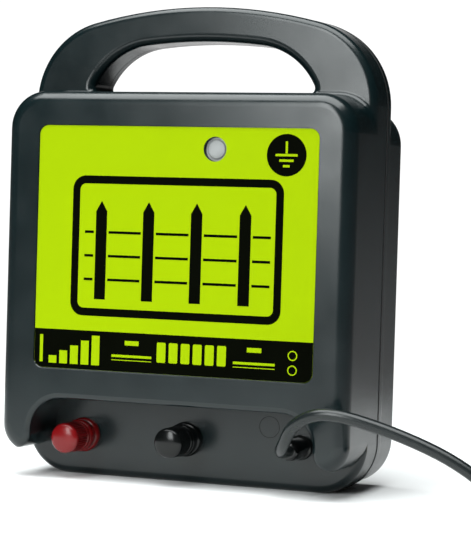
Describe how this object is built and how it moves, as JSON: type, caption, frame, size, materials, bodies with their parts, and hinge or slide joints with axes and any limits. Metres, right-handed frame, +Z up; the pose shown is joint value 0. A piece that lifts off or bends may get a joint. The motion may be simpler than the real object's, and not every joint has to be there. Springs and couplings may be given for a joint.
{
  "type": "mains fence energizer",
  "caption": "Dark plastic electric-fence energizer with a carrying handle, lime front label, status window, red and black screw terminals in a bay at its foot, and a mains lead.",
  "frame": {"origin": "middle of the case's underside, on the surface it stands on", "axes": "+Y points to the back, away from the label; +Z up; +X to the right of someone who faces the label"},
  "size_m": [0.3607, 0.1514, 0.2545],
  "materials": {
    "case_plastic": "fine spark-eroded texture, satin",
    "label_film": "printed film, satin",
    "seal_rubber": "soft, matt",
    "lens_plastic": "frosted, translucent",
    "led_resin": "clear tinted",
    "red_plastic": "moulded, glossy",
    "black_plastic": "moulded, glossy",
    "steel": "zinc plated",
    "brass": "turned",
    "board_laminate": "solder mask",
    "component_plastic": "moulded",
    "potted_box": "potted, glossy",
    "capacitor_sleeve": "shrunk film",
    "heat_sink_metal": "extruded",
    "core_steel": "stacked sheets, varnished",
    "bobbin_plastic": "moulded",
    "copper_wire": "enamelled wire",
    "insulation_tape": "polyester film",
    "fuse_glass": "clear",
    "red_wire": "flexible insulation",
    "black_wire": "flexible insulation",
    "blue_brown_wire": "flexible insulation",
    "cord_sheath": "smooth sheath",
    "tie_strap": "woven hook tape",
    "plug_plastic": "moulded, satin"
  },
  "bodies": {
    "case": {"front_cover": "case_plastic", "rear_cover": "case_plastic", "seam_gasket": "seal_rubber", "case_screws": "steel", "front_label": "label_film", "indicator_lens": "lens_plastic", "indicator_led": "led_resin", "cable_gland": "black_plastic", "gland_nut": "black_plastic", "circuit_board": "board_laminate", "board_screws": "steel", "filter_capacitors": "potted_box", "smoothing_capacitors": "capacitor_sleeve", "storage_capacitor": "capacitor_sleeve", "capacitor_clamp": "steel", "thyristor": "component_plastic", "heat_sink": "heat_sink_metal", "board_diodes": "component_plastic", "board_resistors": "bobbin_plastic", "fuse_holder": "component_plastic", "mains_fuse": "fuse_glass", "control_chip": "component_plastic", "transformer_core": "core_steel", "transformer_bobbin": "bobbin_plastic", "primary_winding": "copper_wire", "winding_insulation": "insulation_tape", "secondary_winding": "copper_wire", "transformer_bracket": "steel", "mounting_screws": "steel", "mains_terminal_block": "bobbin_plastic", "output_lead": "red_wire", "earth_lead": "black_wire", "supply_leads": "blue_brown_wire", "mains_cord_inner_end": "cord_sheath", "mains_cord_run": "cord_sheath", "mains_cord_coil": "cord_sheath", "mains_cord_tail": "cord_sheath", "coil_tie": "tie_strap", "plug_body": "plug_plastic", "plug_pins": "brass", "fence_terminal_base": "red_plastic", "fence_terminal_stud": "steel", "fence_terminal_nut": "steel", "fence_terminal_lock_nut": "steel", "fence_terminal_lug": "steel", "earth_terminal_base": "black_plastic", "earth_terminal_stud": "steel", "earth_terminal_nut": "steel", "earth_terminal_lock_nut": "steel", "earth_terminal_lug": "steel"},
    "fence_washer_body": {"fence_clamp_washer": "red_plastic"},
    "fence_knob_body": {"fence_knob": "red_plastic", "fence_knob_insert": "brass"},
    "earth_washer_body": {"earth_clamp_washer": "black_plastic"},
    "earth_knob_body": {"earth_knob": "black_plastic", "earth_knob_insert": "brass"}
  },
  "joints": [
    {"name": "fence_washer_slide", "type": "slide", "parent": "case", "child": "fence_washer_body", "axis": [0, -1, 0], "range_m": [0, 0.005]},
    {"name": "fence_knob_turn", "type": "hinge", "parent": "fence_washer_body", "child": "fence_knob_body", "pos_m": [-0.0625, -0.0278, 0.022], "axis": [0, -1, 0], "range_deg": [0, 1800]},
    {"name": "earth_washer_slide", "type": "slide", "parent": "case", "child": "earth_washer_body", "axis": [0, -1, 0], "range_m": [0, 0.005]},
    {"name": "earth_knob_turn", "type": "hinge", "parent": "earth_washer_body", "child": "earth_knob_body", "pos_m": [-0.002, -0.0278, 0.0235], "axis": [0, -1, 0], "range_deg": [0, 1800]}
  ],
  "couplings": [
    {"joint": "fence_washer_slide", "follows": "fence_knob_turn", "m_per_rad": 0.00015915},
    {"joint": "earth_washer_slide", "follows": "earth_knob_turn", "m_per_rad": 0.00015915}
  ]
}
